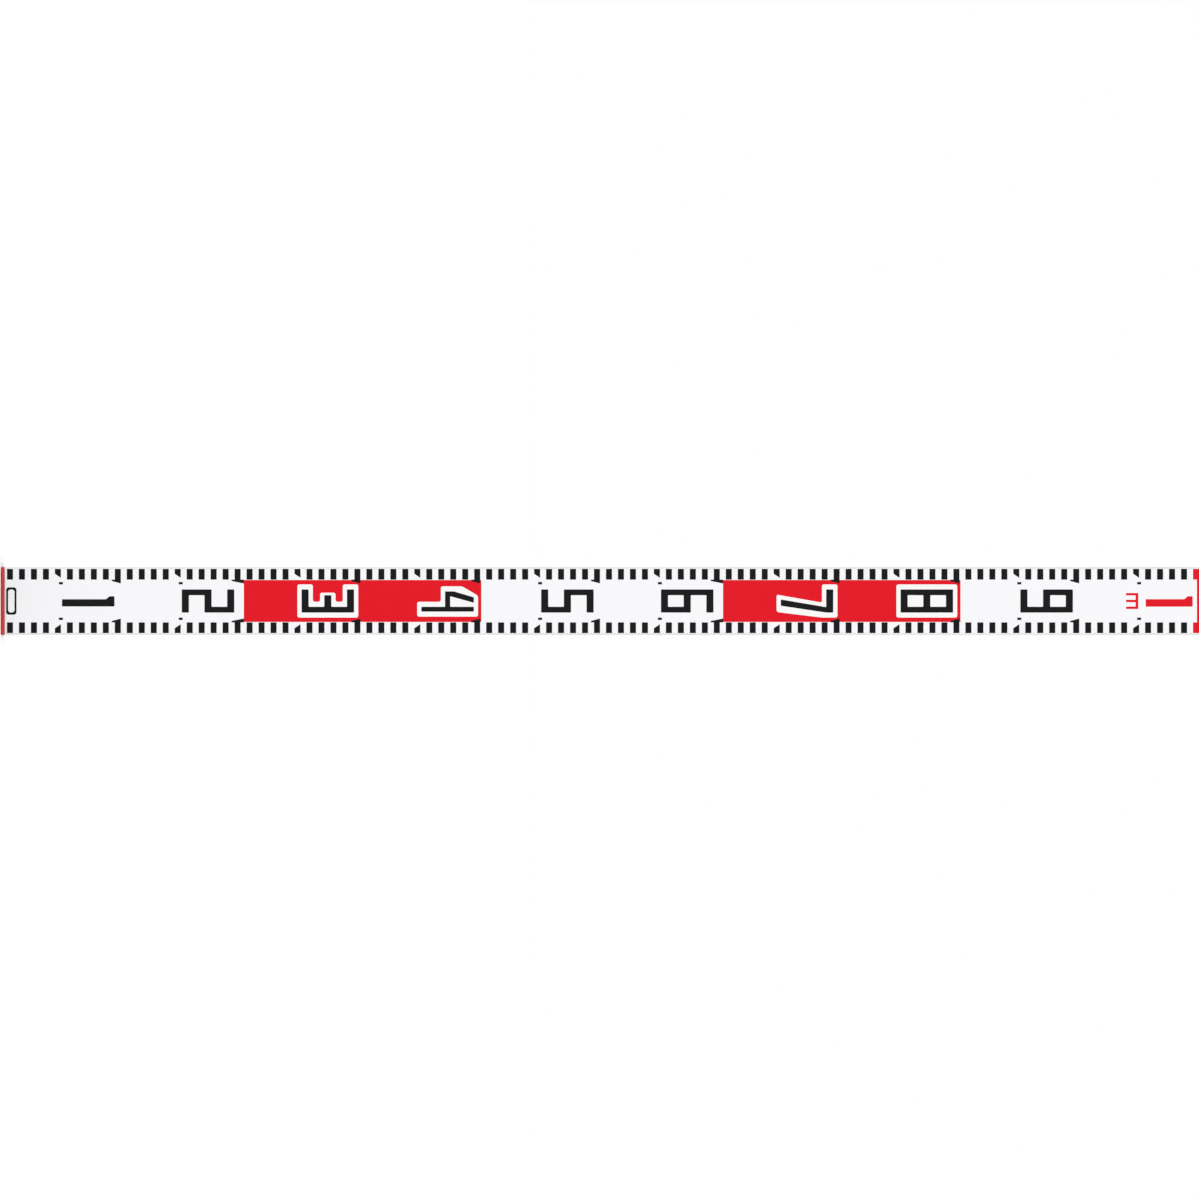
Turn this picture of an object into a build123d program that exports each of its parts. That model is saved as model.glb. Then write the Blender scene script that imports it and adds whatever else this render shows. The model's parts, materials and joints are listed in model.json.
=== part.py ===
from build123d import *
from math import cos, degrees, hypot, radians, sin, sqrt, tan
import os

# A telescopic measuring rod: five nested aluminium sections, drawn closed and standing on the foot.
# The origin is the centre of the zero face under the foot. +Z runs up the rod, the printed front
# faces -Y, and the latches that hold the sections sit on the back of the collars, towards +Y.
# Section 1 is the base, which stays still. Every size is in millimetres and every angle in degrees.

# Tubes
SECTION_COUNT = 5
TOP_WIDTH = 36.7
TOP_DEPTH = 11.0
TUBE_WALL = 1.4
TUBE_GAP = 1.1
CORNER_RADIUS = 1.0
BORE_RADIUS = 0.8

# Printed film let into the front of each tube
FILM_RIM = 0.55
FILM_RECESS = 0.5
FILM_THICKNESS = 0.35
FILM_TUCK = 10.0
FILM_END_GAP = 0.5

# Heights of the closed rod
BASE_HEIGHT = 1096.0
OVERLAP = 123.7

# Clearances
FIT = 0.05
SLIDE_CLEARANCE = 0.3
STOP_CLEARANCE = 0.5
STACK_CLEARANCE = 0.3

# Foot
FOOT_FLANGE = 3.0
FOOT_EDGE = 0.8
FOOT_SPIGOT = 21.0
PLATE_MARGIN = 3.0
PLATE_THICKNESS = 1.5
PLATE_RADIUS = 2.0
PLATE_SCREW_SPACING = 34.0
PLATE_SCREW_RADIUS = 2.0
PLATE_SCREW_HEAD_RADIUS = 3.0
PLATE_SCREW_LENGTH = 12.0

# Guide shoe, the plug at the lower end of each sliding tube
SHOE_HEIGHT = 16.0
SHOE_SPIGOT = 15.7
SHOE_LEAD = 0.8
VENT_RADIUS = 2.0
BUMPER_THICKNESS = 2.0
BUMPER_MARGIN = 1.5

# Flush rivets that hold the foot and the guide shoes
RIVET_RADIUS = 1.5
RIVET_HEAD_RADIUS = 2.5
RIVET_LENGTH = 6.0

# Collar
COLLAR_HEIGHT = 33.7
COLLAR_WALL = 2.2
COLLAR_LIP = 4.0
COLLAR_EDGE = 1.1
COLLAR_SCREW_HEIGHT = 12.0
SCREW_RADIUS = 1.5
SCREW_HEAD_RADIUS = 2.6
COUNTERSINK_ANGLE = 90.0
RECESS_LENGTH = 3.0
RECESS_WIDTH = 0.7
RECESS_DEPTH = 0.8

# Latch: a rocker on a pin between two cheeks of the collar, with a tooth curved about the pin
PIN_RADIUS = 1.5
PIN_RUNNING_CLEARANCE = 0.06
HUB_WALL = 1.3
HUB_CLEARANCE = 0.4
LEVER_WIDTH = 13.0
LEVER_SIDE_CLEARANCE = 0.4
LEVER_STANDOFF = 2.2
LEVER_THICKNESS = 3.4
LEVER_HEAD_MARGIN = 0.25
LEVER_FOOT_INSET = 1.5
LEVER_EDGE = 0.5
PAD_START = 3.6
PAD_BULGE = 1.7
GRIP_GROOVE_COUNT = 4
GRIP_GROOVE_RADIUS = 0.45
GRIP_GROOVE_PITCH = 1.8
TOOTH_WIDTH = 8.0
TOOTH_LOW = 7.0
TOOTH_HEIGHT = 4.0
RIDE_CLEARANCE = 0.3
ENGAGED_ANGLE = 8.0
SLOT_CLEARANCE = 0.4
WINDOW_BRIDGE = 0.8
CHEEK_THICKNESS = 2.6
CHEEK_MARGIN = 2.3
CHEEK_INSET = 2.0
CHEEK_SLOPE = 5.0
CHEEK_RADIUS = 2.5

# Leaf spring under the thumb pad
SPRING_THICKNESS = 0.4
SPRING_WIDTH = 8.0
SPRING_BEND = 4.4
SPRING_FOLD = 0.7
SPRING_FOOT_INSET = 0.4
SPRING_TIP_INSET = 1.6
SPRING_TIP_CLEARANCE = 0.1
PEG_RADIUS = 0.9
PEG_HEIGHT = 0.9
PEG_INSET = 4.5

# Top cap
CAP_HEIGHT = 17.7
CAP_WALL = 2.2
CAP_PLATE = 3.0
CAP_EDGE = 1.5
CAP_SCREW_DROP = 9.0
CAP_SCREW_BITE = 6.0

# Level grip grooves across the front of the collars and both faces of the cap
COLLAR_GROOVE_COUNT = 6
CAP_GROOVE_COUNT = 3
GROOVE_PITCH = 3.0
GROOVE_RADIUS = 0.6
GROOVE_INSET = 2.0

# Worked out from the sizes above
SIDES = (-1, 1)
SLIDING_SECTIONS = range(2, SECTION_COUNT + 1)
COLLARED_SECTIONS = range(1, SECTION_COUNT)
NEST_STEP = 2 * (TUBE_WALL + TUBE_GAP)
FIRST_SHOE = FOOT_FLANGE + FOOT_SPIGOT + BUMPER_THICKNESS + STACK_CLEARANCE
NEST_PITCH = SHOE_HEIGHT + SHOE_SPIGOT + BUMPER_THICKNESS + STACK_CLEARANCE
STROKE = BASE_HEIGHT - FIRST_SHOE - OVERLAP
COLLAR_PITCH = COLLAR_HEIGHT + STACK_CLEARANCE
COLLAR_SCREW_LENGTH = COLLAR_WALL + FIT + TUBE_WALL
CAP_SCREW_LENGTH = CAP_WALL + FIT + TUBE_WALL + CAP_SCREW_BITE
HUB_RADIUS = PIN_RADIUS + HUB_WALL
PIVOT_STANDOFF = HUB_RADIUS + HUB_CLEARANCE
LATCH_REACH = PIVOT_STANDOFF + COLLAR_WALL + TUBE_WALL + TUBE_GAP
TOOTH_REACH = LATCH_REACH - RIDE_CLEARANCE
TOOTH_INNER_RADIUS = hypot(TOOTH_REACH, TOOTH_LOW)
TOOTH_OUTER_RADIUS = hypot(TOOTH_REACH, TOOTH_LOW + TOOTH_HEIGHT)
WINDOW_LOW = TOOTH_LOW - SLOT_CLEARANCE
WINDOW_HIGH = sqrt(TOOTH_OUTER_RADIUS**2 - PIVOT_STANDOFF**2) + SLOT_CLEARANCE
PIVOT_HEIGHT = COLLAR_HEIGHT - COLLAR_LIP - WINDOW_BRIDGE - WINDOW_HIGH
LEVER_TOP = TOOTH_OUTER_RADIUS + LEVER_HEAD_MARGIN
LEVER_TAIL = PIVOT_HEIGHT - LEVER_FOOT_INSET
CHANNEL_HALF = LEVER_WIDTH / 2 + LEVER_SIDE_CLEARANCE
CHEEK_RISE = PIVOT_STANDOFF + PIN_RADIUS + CHEEK_MARGIN
PIN_LENGTH = 2 * (CHANNEL_HALF + CHEEK_THICKNESS)


def tube_width(section):
    return TOP_WIDTH + (SECTION_COUNT - section) * NEST_STEP


def tube_depth(section):
    return TOP_DEPTH + (SECTION_COUNT - section) * NEST_STEP


def bore_width(section):
    return tube_width(section) - 2 * TUBE_WALL


def bore_depth(section):
    return tube_depth(section) - 2 * TUBE_WALL


def film_width(section):
    return tube_width(section) - 2 * (CORNER_RADIUS + FILM_RIM)


def collar_top(section):
    return BASE_HEIGHT + (section - 1) * COLLAR_PITCH


def collar_bottom(section):
    return collar_top(section) - COLLAR_HEIGHT


def collar_back(section):
    return tube_depth(section) / 2 + COLLAR_WALL


def cap_bottom():
    return collar_top(SECTION_COUNT - 1) + STACK_CLEARANCE


def head_bottom(section):
    return cap_bottom() if section == SECTION_COUNT else collar_bottom(section)


def shoe_bottom(section):
    return FIRST_SHOE + (section - 2) * NEST_PITCH


def tube_bottom(section):
    return FOOT_FLANGE if section == 1 else shoe_bottom(section) + SHOE_HEIGHT


def spigot_length(section):
    return FOOT_SPIGOT if section == 1 else SHOE_SPIGOT


def tube_top(section):
    if section == SECTION_COUNT:
        return cap_bottom() + CAP_HEIGHT - CAP_PLATE
    return collar_top(section) - COLLAR_LIP


def rivet_height(section):
    return tube_bottom(section) + spigot_length(section) / 2


def pivot_y(section):
    return collar_back(section) + PIVOT_STANDOFF


def pivot_z(section):
    return collar_bottom(section) + PIVOT_HEIGHT


def lever_foot(section):
    return pivot_z(section) - LEVER_TAIL


def peg_height(section):
    return lever_foot(section) + PEG_INSET


def window_span(section):
    """Lower and upper edge of the opening that the curved tooth swings through."""
    return pivot_z(section) + WINDOW_LOW, pivot_z(section) + WINDOW_HIGH


def slot_span(section):
    """Lower and upper edge of the slot that takes the tooth of this section's collar."""
    turn = radians(ENGAGED_ANGLE)
    low = TOOTH_LOW * cos(turn) - TOOTH_REACH * sin(turn)
    high = sqrt(TOOTH_OUTER_RADIUS**2 - LATCH_REACH**2)
    return pivot_z(section) + low - SLOT_CLEARANCE, pivot_z(section) + high + SLOT_CLEARANCE


def tube_outline(section, growth=0.0, mode=Mode.ADD):
    """Add a tube's outline, grown all round, to the current sketch."""
    width = tube_width(section) + 2 * growth
    depth = tube_depth(section) + 2 * growth
    RectangleRounded(width, depth, CORNER_RADIUS + growth, mode=mode)


def bore_outline(section, growth=0.0, mode=Mode.ADD):
    """Add a tube's bore, grown all round, to the current sketch."""
    width = bore_width(section) + 2 * growth
    depth = bore_depth(section) + 2 * growth
    RectangleRounded(width, depth, BORE_RADIUS, mode=mode)


def side_seat(half_width, side, height):
    """Plane on a narrow side of the rod, facing outwards, where a fastener's head lies flush."""
    return Plane(origin=(side * half_width, 0, height), z_dir=(side, 0, 0))


def cut_from_back(span, outer_y, inner_y):
    """Cut an opening of the tooth's width through a back wall, inside the current part."""
    low, high = span
    width = TOOTH_WIDTH + 2 * SLOT_CLEARANCE
    with Locations((0, (outer_y + inner_y) / 2, (low + high) / 2)):
        Box(width, outer_y - inner_y, high - low, mode=Mode.SUBTRACT)


def add_countersunk(seats, radius, head_radius, length):
    """Add one countersunk shank with its head flush on each seat plane, inside the current part."""
    head_depth = (head_radius - radius) / tan(radians(COUNTERSINK_ANGLE / 2))
    top = (Align.CENTER, Align.CENTER, Align.MAX)
    with Locations(*seats):
        Cylinder(radius, length, align=top)
        Cone(radius, head_radius, head_depth, align=top)


def cut_cross_recess(seats):
    """Cut a cross recess into each screw head, inside the current part."""
    top = (Align.CENTER, Align.CENTER, Align.MAX)
    with Locations(*seats):
        Box(RECESS_LENGTH, RECESS_WIDTH, RECESS_DEPTH, align=top, mode=Mode.SUBTRACT)
        Box(RECESS_WIDTH, RECESS_LENGTH, RECESS_DEPTH, align=top, mode=Mode.SUBTRACT)


def cut_level_grooves(section, faces_y, middle, count):
    """Cut grip grooves across the flat of each of these faces, inside the current part."""
    length = tube_width(section) - 2 * (CORNER_RADIUS + GROOVE_INSET)
    seats = [Plane(origin=(0, y, middle), x_dir=(0, 1, 0), z_dir=(1, 0, 0)) for y in faces_y]
    with Locations(*seats):
        with GridLocations(0, GROOVE_PITCH, 1, count):
            Cylinder(GROOVE_RADIUS, length, mode=Mode.SUBTRACT)


def make_tube(section):
    bottom = tube_bottom(section)
    back = tube_depth(section) / 2
    half_width = tube_width(section) / 2
    bore_back = bore_depth(section) / 2
    rivet_seats = [side_seat(half_width, side, rivet_height(section)) for side in SIDES]
    with BuildPart() as tube:
        with BuildSketch(Plane.XY.offset(bottom)):
            tube_outline(section)
            bore_outline(section, mode=Mode.SUBTRACT)
            with Locations((0, -back)):
                Rectangle(film_width(section), 2 * FILM_RECESS, mode=Mode.SUBTRACT)
        extrude(amount=tube_top(section) - bottom)
        with Locations(*rivet_seats):
            CounterSinkHole(RIVET_RADIUS + FIT, RIVET_HEAD_RADIUS + FIT, 2 * TUBE_WALL, COUNTERSINK_ANGLE)
        if section == SECTION_COUNT:
            head_screw_height = cap_bottom() + CAP_HEIGHT - CAP_SCREW_DROP
        else:
            head_screw_height = collar_bottom(section) + COLLAR_SCREW_HEIGHT
            cut_from_back(window_span(section), back + FIT, bore_back - FIT)
        with Locations(*[side_seat(half_width, side, head_screw_height) for side in SIDES]):
            Hole(SCREW_RADIUS + FIT, 2 * TUBE_WALL)
        if section > 1:
            low, high = slot_span(section - 1)
            cut_from_back((low, high), back + FIT, bore_back - FIT)
            cut_from_back((low - STROKE, high - STROKE), back + FIT, bore_back - FIT)
    tube.part.label = f"tube_{section}"
    return tube.part


def make_scale_film(section):
    if section == 1:
        bottom = tube_bottom(section) + FILM_END_GAP
    else:
        bottom = collar_top(section - 1) - STROKE - FILM_TUCK
    top = head_bottom(section) - FILM_END_GAP
    seat_y = -tube_depth(section) / 2 + FILM_RECESS
    with BuildPart() as film:
        with BuildSketch(Plane.XY.offset(bottom)):
            with Locations((0, seat_y)):
                Rectangle(film_width(section) - 2 * FIT, FILM_THICKNESS, align=(Align.CENTER, Align.MAX))
        extrude(amount=top - bottom)
    film.part.label = f"scale_film_{section}"
    return film.part


def foot_plate_seats():
    positions = [side * PLATE_SCREW_SPACING / 2 for side in SIDES]
    return [Plane(origin=(x, 0, 0), z_dir=(0, 0, -1)) for x in positions]


def make_foot_shoe():
    plate_width = tube_width(1) - 2 * PLATE_MARGIN
    plate_depth = tube_depth(1) - 2 * PLATE_MARGIN
    rivet_seats = [side_seat(tube_width(1) / 2, side, rivet_height(1)) for side in SIDES]
    with BuildPart() as shoe:
        with BuildSketch(Plane.XY):
            tube_outline(1)
        extrude(amount=FOOT_FLANGE)
        fillet(shoe.faces().sort_by(Axis.Z)[0].edges(), FOOT_EDGE)
        with BuildSketch(Plane.XY.offset(FOOT_FLANGE)):
            bore_outline(1, -FIT)
        extrude(amount=FOOT_SPIGOT)
        with BuildSketch(Plane.XY):
            RectangleRounded(plate_width + 2 * FIT, plate_depth + 2 * FIT, PLATE_RADIUS + FIT)
        extrude(amount=PLATE_THICKNESS, mode=Mode.SUBTRACT)
        with Locations(*foot_plate_seats()):
            Hole(PLATE_SCREW_RADIUS + FIT, PLATE_SCREW_LENGTH + FIT)
        with Locations(*rivet_seats):
            Hole(RIVET_RADIUS + FIT, RIVET_LENGTH + FIT)
    shoe.part.label = "foot_shoe"
    return shoe.part


def make_foot_plate():
    with BuildPart() as plate:
        with BuildSketch(Plane.XY):
            RectangleRounded(tube_width(1) - 2 * PLATE_MARGIN, tube_depth(1) - 2 * PLATE_MARGIN, PLATE_RADIUS)
        extrude(amount=PLATE_THICKNESS)
        with Locations(*foot_plate_seats()):
            head_radius = PLATE_SCREW_HEAD_RADIUS + FIT
            CounterSinkHole(PLATE_SCREW_RADIUS + FIT, head_radius, 2 * PLATE_THICKNESS, COUNTERSINK_ANGLE)
    plate.part.label = "foot_plate"
    return plate.part


def make_foot_plate_screws():
    with BuildPart() as screws:
        add_countersunk(foot_plate_seats(), PLATE_SCREW_RADIUS, PLATE_SCREW_HEAD_RADIUS, PLATE_SCREW_LENGTH)
        cut_cross_recess(foot_plate_seats())
    screws.part.label = "foot_plate_screws"
    return screws.part


def make_rivets(section):
    seats = [side_seat(tube_width(section) / 2, side, rivet_height(section)) for side in SIDES]
    with BuildPart() as rivets:
        add_countersunk(seats, RIVET_RADIUS, RIVET_HEAD_RADIUS, RIVET_LENGTH)
    rivets.part.label = "foot_rivets" if section == 1 else f"shoe_rivets_{section}"
    return rivets.part


def make_guide_shoe(section):
    bottom = shoe_bottom(section)
    rivet_seats = [side_seat(tube_width(section) / 2, side, rivet_height(section)) for side in SIDES]
    with BuildPart() as shoe:
        with BuildSketch(Plane.XY.offset(bottom)):
            bore_outline(section - 1, -SLIDE_CLEARANCE)
        extrude(amount=SHOE_HEIGHT)
        chamfer(shoe.faces().sort_by(Axis.Z)[0].edges(), SHOE_LEAD)
        with BuildSketch(Plane.XY.offset(bottom + SHOE_HEIGHT)):
            bore_outline(section, -FIT)
        extrude(amount=SHOE_SPIGOT)
        with Locations((0, 0, bottom + SHOE_HEIGHT + SHOE_SPIGOT)):
            Hole(VENT_RADIUS, SHOE_HEIGHT + SHOE_SPIGOT)
        with Locations(*rivet_seats):
            Hole(RIVET_RADIUS + FIT, RIVET_LENGTH + FIT)
    shoe.part.label = f"guide_shoe_{section}"
    return shoe.part


def make_bumper(section):
    bottom = tube_bottom(section) + spigot_length(section)
    with BuildPart() as bumper:
        with BuildSketch(Plane.XY.offset(bottom)):
            bore_outline(section, -BUMPER_MARGIN)
            Circle(VENT_RADIUS, mode=Mode.SUBTRACT)
        extrude(amount=BUMPER_THICKNESS)
    bumper.part.label = f"bumper_{section}"
    return bumper.part


def make_guide_sleeve(section):
    bottom = shoe_bottom(section + 1) + SHOE_HEIGHT + STROKE + STOP_CLEARANCE
    outer_y = bore_depth(section) / 2
    inner_y = tube_depth(section + 1) / 2
    with BuildPart() as sleeve:
        with BuildSketch(Plane.XY.offset(bottom)):
            bore_outline(section, -FIT)
            tube_outline(section + 1, SLIDE_CLEARANCE, mode=Mode.SUBTRACT)
        extrude(amount=tube_top(section) - bottom)
        cut_from_back(window_span(section), outer_y, inner_y)
    sleeve.part.label = f"guide_sleeve_{section}"
    return sleeve.part


def make_collar(section):
    bottom = collar_bottom(section)
    back = collar_back(section)
    half_width = tube_width(section) / 2 + COLLAR_WALL
    mouth_y = tube_depth(section + 1) / 2
    cheek_low = bottom + CHEEK_INSET
    cheek_high = collar_top(section) - CHEEK_INSET
    screw_seats = [side_seat(half_width, side, bottom + COLLAR_SCREW_HEIGHT) for side in SIDES]
    with BuildPart() as collar:
        with BuildSketch(Plane.XY.offset(bottom)):
            tube_outline(section, COLLAR_WALL)
        extrude(amount=COLLAR_HEIGHT)
        ends = collar.faces().filter_by(Axis.Z)
        fillet(ends.edges(), COLLAR_EDGE)
        cut_level_grooves(section, [-back], bottom + COLLAR_HEIGHT / 2, COLLAR_GROOVE_COUNT)
        for side in SIDES:
            with BuildSketch(Plane.YZ.offset(side * CHANNEL_HALF)) as cheek:
                with BuildLine():
                    Polyline(
                        (back - COLLAR_WALL / 2, cheek_low),
                        (back, cheek_low),
                        (back + CHEEK_RISE, cheek_low + CHEEK_SLOPE),
                        (back + CHEEK_RISE, cheek_high - CHEEK_SLOPE),
                        (back, cheek_high),
                        (back - COLLAR_WALL / 2, cheek_high),
                        close=True,
                    )
                make_face()
                fillet(cheek.vertices().group_by(Axis.X)[-1], CHEEK_RADIUS)
            extrude(amount=side * CHEEK_THICKNESS)
        with BuildSketch(Plane.XY.offset(bottom)):
            tube_outline(section, FIT)
        extrude(amount=COLLAR_HEIGHT - COLLAR_LIP, mode=Mode.SUBTRACT)
        with BuildSketch(Plane.XY.offset(bottom)):
            tube_outline(section + 1, SLIDE_CLEARANCE)
        extrude(amount=COLLAR_HEIGHT, mode=Mode.SUBTRACT)
        cut_from_back(window_span(section), back, mouth_y)
        with BuildSketch(Plane.YZ):
            with Locations((pivot_y(section), pivot_z(section))):
                Circle(PIN_RADIUS + FIT)
        extrude(amount=PIN_LENGTH, both=True, mode=Mode.SUBTRACT)
        with Locations(*screw_seats):
            CounterSinkHole(SCREW_RADIUS + FIT, SCREW_HEAD_RADIUS + FIT, 2 * COLLAR_WALL, COUNTERSINK_ANGLE)
        with BuildSketch(Plane.XZ.offset(-back)):
            with Locations((0, peg_height(section))):
                Circle(PEG_RADIUS)
        extrude(amount=-PEG_HEIGHT)
    collar.part.label = f"collar_{section}"
    return collar.part


def make_collar_screws(section):
    half_width = tube_width(section) / 2 + COLLAR_WALL
    seats = [side_seat(half_width, side, collar_bottom(section) + COLLAR_SCREW_HEIGHT) for side in SIDES]
    with BuildPart() as screws:
        add_countersunk(seats, SCREW_RADIUS, SCREW_HEAD_RADIUS, COLLAR_SCREW_LENGTH)
        cut_cross_recess(seats)
    screws.part.label = f"collar_screws_{section}"
    return screws.part


def make_latch_pin(section):
    with BuildPart() as pin:
        with BuildSketch(Plane.YZ):
            with Locations((pivot_y(section), pivot_z(section))):
                Circle(PIN_RADIUS)
        extrude(amount=PIN_LENGTH / 2, both=True)
    pin.part.label = f"latch_pin_{section}"
    return pin.part


def make_latch_spring(section):
    back = collar_back(section)
    bend = pivot_z(section) - SPRING_BEND
    foot = lever_foot(section) + SPRING_FOOT_INSET
    tip_height = lever_foot(section) + SPRING_TIP_INSET
    tip = LEVER_STANDOFF - SPRING_TIP_CLEARANCE
    slope = (tip - SPRING_FOLD) / (bend - tip_height)
    leg_inset = SPRING_THICKNESS * hypot(1, slope)
    inner_fold = bend - (SPRING_THICKNESS + leg_inset - SPRING_FOLD) / slope
    with BuildPart() as spring:
        with BuildSketch(Plane.YZ):
            with BuildLine():
                Polyline(
                    (back, foot),
                    (back, bend),
                    (back + SPRING_FOLD, bend),
                    (back + tip, tip_height),
                    (back + tip - leg_inset, tip_height),
                    (back + SPRING_THICKNESS, inner_fold),
                    (back + SPRING_THICKNESS, foot),
                    close=True,
                )
            make_face()
        extrude(amount=SPRING_WIDTH / 2, both=True)
        with BuildSketch(Plane.XZ.offset(-back)):
            with Locations((0, peg_height(section))):
                Circle(PEG_RADIUS + FIT)
        extrude(amount=-PEG_HEIGHT, mode=Mode.SUBTRACT)
    spring.part.label = f"latch_spring_{section}"
    return spring.part


def make_latch_lever(section):
    pivot = Plane(origin=(0, pivot_y(section), pivot_z(section)), x_dir=(0, 1, 0), z_dir=(1, 0, 0))
    inner = LEVER_STANDOFF - PIVOT_STANDOFF
    outer = inner + LEVER_THICKNESS
    pad_middle = -(LEVER_TAIL + PAD_START) / 2
    pad_half = (LEVER_TAIL - PAD_START) / 2
    pad_radius = (pad_half**2 + PAD_BULGE**2) / (2 * PAD_BULGE)
    pad_crown = outer + PAD_BULGE
    groove_sweep = degrees((GRIP_GROOVE_COUNT - 1) * GRIP_GROOVE_PITCH / pad_radius)
    with BuildPart() as lever:
        with BuildSketch(pivot):
            with BuildLine():
                Polyline(
                    (outer, -PAD_START),
                    (outer, LEVER_TOP),
                    (inner, LEVER_TOP),
                    (inner, -LEVER_TAIL),
                    (outer, -LEVER_TAIL),
                )
                ThreePointArc((outer, -LEVER_TAIL), (pad_crown, pad_middle), (outer, -PAD_START))
            make_face()
        extrude(amount=LEVER_WIDTH / 2, both=True)
        fillet(lever.faces().filter_by(Axis.X).edges(), LEVER_EDGE)
        with BuildSketch(pivot):
            Circle(HUB_RADIUS)
        extrude(amount=LEVER_WIDTH / 2, both=True)
        with BuildSketch(pivot):
            Circle(TOOTH_OUTER_RADIUS)
            Circle(TOOTH_INNER_RADIUS, mode=Mode.SUBTRACT)
            with Locations((-TOOTH_REACH, 0)):
                Rectangle(TOOTH_REACH, LEVER_TOP, align=(Align.MIN, Align.MIN), mode=Mode.INTERSECT)
        extrude(amount=TOOTH_WIDTH / 2, both=True)
        with BuildSketch(pivot):
            with Locations((pad_crown - pad_radius, pad_middle)):
                start = -groove_sweep / 2
                with PolarLocations(pad_radius, GRIP_GROOVE_COUNT, start, groove_sweep, endpoint=True):
                    Circle(GRIP_GROOVE_RADIUS)
        extrude(amount=LEVER_WIDTH, both=True, mode=Mode.SUBTRACT)
        with BuildSketch(pivot):
            Circle(PIN_RADIUS + PIN_RUNNING_CLEARANCE)
        extrude(amount=LEVER_WIDTH, both=True, mode=Mode.SUBTRACT)
    lever.part.label = f"latch_lever_{section}"
    return lever.part


def cap_screw_seats():
    half_width = tube_width(SECTION_COUNT) / 2 + CAP_WALL
    height = cap_bottom() + CAP_HEIGHT - CAP_SCREW_DROP
    return [side_seat(half_width, side, height) for side in SIDES]


def make_top_cap():
    bottom = cap_bottom()
    section = SECTION_COUNT
    face_y = tube_depth(section) / 2 + CAP_WALL
    groove_middle = bottom + (CAP_HEIGHT - CAP_PLATE) / 2
    with BuildPart() as cap:
        with BuildSketch(Plane.XY.offset(bottom)):
            tube_outline(section, CAP_WALL)
        extrude(amount=CAP_HEIGHT)
        fillet(cap.faces().sort_by(Axis.Z)[-1].edges(), CAP_EDGE)
        cut_level_grooves(section, [-face_y, face_y], groove_middle, CAP_GROOVE_COUNT)
        with BuildSketch(Plane.XY.offset(bottom)):
            tube_outline(section, FIT)
            bore_outline(section, -FIT, mode=Mode.SUBTRACT)
        extrude(amount=CAP_HEIGHT - CAP_PLATE, mode=Mode.SUBTRACT)
        with Locations(*cap_screw_seats()):
            CounterSinkHole(
                SCREW_RADIUS + FIT, SCREW_HEAD_RADIUS + FIT, CAP_SCREW_LENGTH + FIT, COUNTERSINK_ANGLE
            )
    cap.part.label = "top_cap"
    return cap.part


def make_top_cap_screws():
    with BuildPart() as screws:
        add_countersunk(cap_screw_seats(), SCREW_RADIUS, SCREW_HEAD_RADIUS, CAP_SCREW_LENGTH)
        cut_cross_recess(cap_screw_seats())
    screws.part.label = "top_cap_screws"
    return screws.part


pieces = [make_foot_shoe(), make_foot_plate(), make_foot_plate_screws()]
pieces += [make_top_cap(), make_top_cap_screws()]
for section in range(1, SECTION_COUNT + 1):
    pieces += [make_tube(section), make_scale_film(section), make_rivets(section)]
for section in SLIDING_SECTIONS:
    pieces += [make_guide_shoe(section)]
for section in COLLARED_SECTIONS:
    pieces += [make_bumper(section), make_guide_sleeve(section), make_collar(section)]
    pieces += [make_collar_screws(section), make_latch_pin(section)]
    pieces += [make_latch_spring(section), make_latch_lever(section)]

os.makedirs("parts", exist_ok=True)
for piece in pieces:
    export_step(piece, f"parts/{piece.label}.step")
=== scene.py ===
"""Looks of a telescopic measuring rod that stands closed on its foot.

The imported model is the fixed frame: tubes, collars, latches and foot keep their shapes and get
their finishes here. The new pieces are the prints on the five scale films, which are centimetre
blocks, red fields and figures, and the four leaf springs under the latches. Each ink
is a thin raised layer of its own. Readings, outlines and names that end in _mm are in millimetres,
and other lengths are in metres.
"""

import json
import logging
from dataclasses import dataclass
from enum import Enum
from math import pi
from string import digits

import bmesh
import bpy
from mathutils import Matrix, Vector

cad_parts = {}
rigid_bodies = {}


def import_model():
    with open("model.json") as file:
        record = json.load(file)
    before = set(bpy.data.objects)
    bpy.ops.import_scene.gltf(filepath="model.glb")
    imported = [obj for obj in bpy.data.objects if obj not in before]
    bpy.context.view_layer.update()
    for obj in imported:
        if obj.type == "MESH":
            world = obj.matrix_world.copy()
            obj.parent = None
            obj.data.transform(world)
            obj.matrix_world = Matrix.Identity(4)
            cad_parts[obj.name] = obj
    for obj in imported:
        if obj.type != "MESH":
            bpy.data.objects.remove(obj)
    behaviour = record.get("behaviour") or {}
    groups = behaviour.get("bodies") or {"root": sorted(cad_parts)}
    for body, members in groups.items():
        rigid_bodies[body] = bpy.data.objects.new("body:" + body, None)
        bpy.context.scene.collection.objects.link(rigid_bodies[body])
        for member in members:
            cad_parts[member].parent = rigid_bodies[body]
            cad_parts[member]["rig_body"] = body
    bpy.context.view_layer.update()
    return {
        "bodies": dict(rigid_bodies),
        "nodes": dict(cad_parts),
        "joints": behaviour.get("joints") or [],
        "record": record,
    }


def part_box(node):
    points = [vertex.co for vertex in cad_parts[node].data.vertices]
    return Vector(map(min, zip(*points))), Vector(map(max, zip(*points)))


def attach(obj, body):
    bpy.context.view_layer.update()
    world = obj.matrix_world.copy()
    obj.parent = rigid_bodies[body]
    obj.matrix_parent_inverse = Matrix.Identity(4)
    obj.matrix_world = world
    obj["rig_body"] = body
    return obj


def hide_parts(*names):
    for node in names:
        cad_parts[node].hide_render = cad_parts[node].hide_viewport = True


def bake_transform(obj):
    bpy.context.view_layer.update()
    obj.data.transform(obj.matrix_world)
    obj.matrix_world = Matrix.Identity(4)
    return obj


LOG = logging.getLogger("measuring_rod")
MM = 0.001
SIDES = (-1, 1)

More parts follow.
